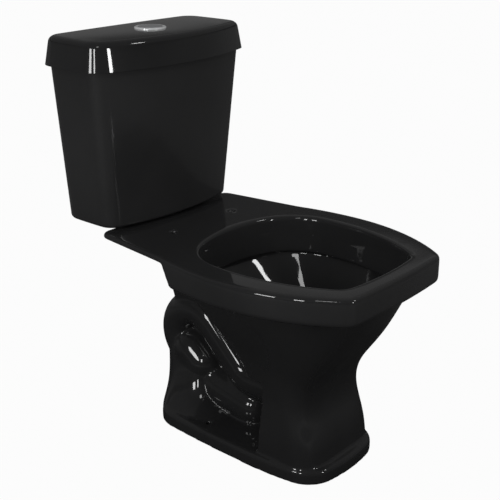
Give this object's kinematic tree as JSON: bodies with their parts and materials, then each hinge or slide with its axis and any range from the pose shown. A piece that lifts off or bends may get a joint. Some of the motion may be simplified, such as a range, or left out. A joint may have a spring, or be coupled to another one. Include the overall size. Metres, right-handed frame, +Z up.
{
  "type": "close coupled toilet",
  "caption": "Close coupled toilet in black china with an open rim, exposed trapway, tapered tank with lift-off lid and a round dual flush push button.",
  "frame": {"origin": "centre of the waste outlet on the floor plane under the pedestal", "axes": "+Z up; -Y towards the front of the bowl; +X to the user's right when seated facing -Y is -X, so +X is the fill valve's side"},
  "size_m": [0.406, 0.6394, 0.7185],
  "materials": {
    "glazed_black_china": "gloss",
    "black_lid_china": "gloss",
    "button_chrome": "gloss",
    "white_abs": "satin",
    "grey_abs": "matte",
    "blue_abs": "satin",
    "black_rubber": "matte",
    "stainless_steel": "satin"
  },
  "bodies": {
    "toilet_body": {"bowl": "glazed_black_china", "tank": "glazed_black_china", "flush_valve_body": "white_abs", "flush_valve_washer": "black_rubber", "flush_valve_locknut": "grey_abs", "spud_gasket": "black_rubber", "valve_yoke": "grey_abs", "full_lever_pin": "stainless_steel", "half_lever_pin": "stainless_steel", "fill_valve_body": "white_abs", "fill_valve_washer": "black_rubber", "fill_valve_locknut": "grey_abs", "fill_valve_cap": "grey_abs", "float_lever_pin": "stainless_steel", "refill_clip": "grey_abs", "refill_hose": "black_rubber", "tank_bolts": "stainless_steel", "tank_bolt_seals": "black_rubber", "tank_bolt_spacers": "black_rubber", "tank_bolt_washers": "stainless_steel", "tank_bolt_nuts": "stainless_steel"},
    "lid": {"tank_lid": "black_lid_china", "button_bezel": "button_chrome", "button_locknut": "white_abs", "full_button_spring": "stainless_steel", "half_button_spring": "stainless_steel"},
    "full_button": {"full_flush_button": "button_chrome"},
    "half_button": {"half_flush_button": "button_chrome"},
    "full_rod": {"full_push_rod": "white_abs"},
    "half_rod": {"half_push_rod": "white_abs"},
    "full_lever": {"full_lift_lever": "blue_abs"},
    "half_lever": {"half_lift_lever": "blue_abs"},
    "standpipe": {"overflow_tube": "white_abs", "flush_seal": "black_rubber"},
    "half_float": {"half_flush_float": "blue_abs"},
    "fill_float": {"float_cup": "blue_abs", "float_rod": "stainless_steel"},
    "fill_lever": {"float_lever": "blue_abs"}
  },
  "joints": [
    {"name": "lid_lift", "type": "slide", "parent": "toilet_body", "child": "lid", "axis": [0, 0, 1], "range_m": [0, 0.15]},
    {"name": "full_button_press", "type": "slide", "parent": "lid", "child": "full_button", "axis": [0, 0, -1], "range_m": [0, 0.0055], "stiffness_N_per_m": 600, "springref_m": -0.001, "deforming": ["full_button_spring"]},
    {"name": "half_button_press", "type": "slide", "parent": "lid", "child": "half_button", "axis": [0, 0, -1], "range_m": [0, 0.0055], "stiffness_N_per_m": 600, "springref_m": -0.001, "deforming": ["half_button_spring"]},
    {"name": "full_rod_slide", "type": "slide", "parent": "toilet_body", "child": "full_rod", "axis": [0, 0, -1], "range_m": [0, 0.0055]},
    {"name": "half_rod_slide", "type": "slide", "parent": "toilet_body", "child": "half_rod", "axis": [0, 0, -1], "range_m": [0, 0.0055]},
    {"name": "full_lever_hinge", "type": "hinge", "parent": "toilet_body", "child": "full_lever", "pos_m": [0.031, 0.2, 0.608], "axis": [0, 1, 0], "range_deg": [0, 38.96]},
    {"name": "half_lever_hinge", "type": "hinge", "parent": "toilet_body", "child": "half_lever", "pos_m": [-0.031, 0.2, 0.608], "axis": [0, -1, 0], "range_deg": [0, 38.96]},
    {"name": "standpipe_lift", "type": "slide", "parent": "toilet_body", "child": "standpipe", "axis": [0, 0, 1], "range_m": [0, 0.0108]},
    {"name": "half_float_lift", "type": "slide", "parent": "toilet_body", "child": "half_float", "axis": [0, 0, 1], "range_m": [0, 0.0108]},
    {"name": "fill_float_slide", "type": "slide", "parent": "toilet_body", "child": "fill_float", "axis": [0, 0, 1], "range_m": [0, 0.014]},
    {"name": "float_lever_hinge", "type": "hinge", "parent": "toilet_body", "child": "fill_lever", "pos_m": [0.104, 0.2064, 0.6675], "axis": [0, -1, 0], "range_deg": [0, 28.88]}
  ],
  "couplings": [
    {"joint": "full_rod_slide", "follows": "full_button_press", "ratio": 1},
    {"joint": "full_lever_hinge", "follows": "full_button_press", "rad_per_m": 123.6},
    {"joint": "standpipe_lift", "follows": "full_button_press", "ratio": 1.9636},
    {"joint": "half_rod_slide", "follows": "half_button_press", "ratio": 1},
    {"joint": "half_lever_hinge", "follows": "half_button_press", "rad_per_m": 123.6},
    {"joint": "half_float_lift", "follows": "half_button_press", "ratio": 1.9636},
    {"joint": "float_lever_hinge", "follows": "fill_float_slide", "rad_per_m": 36}
  ]
}
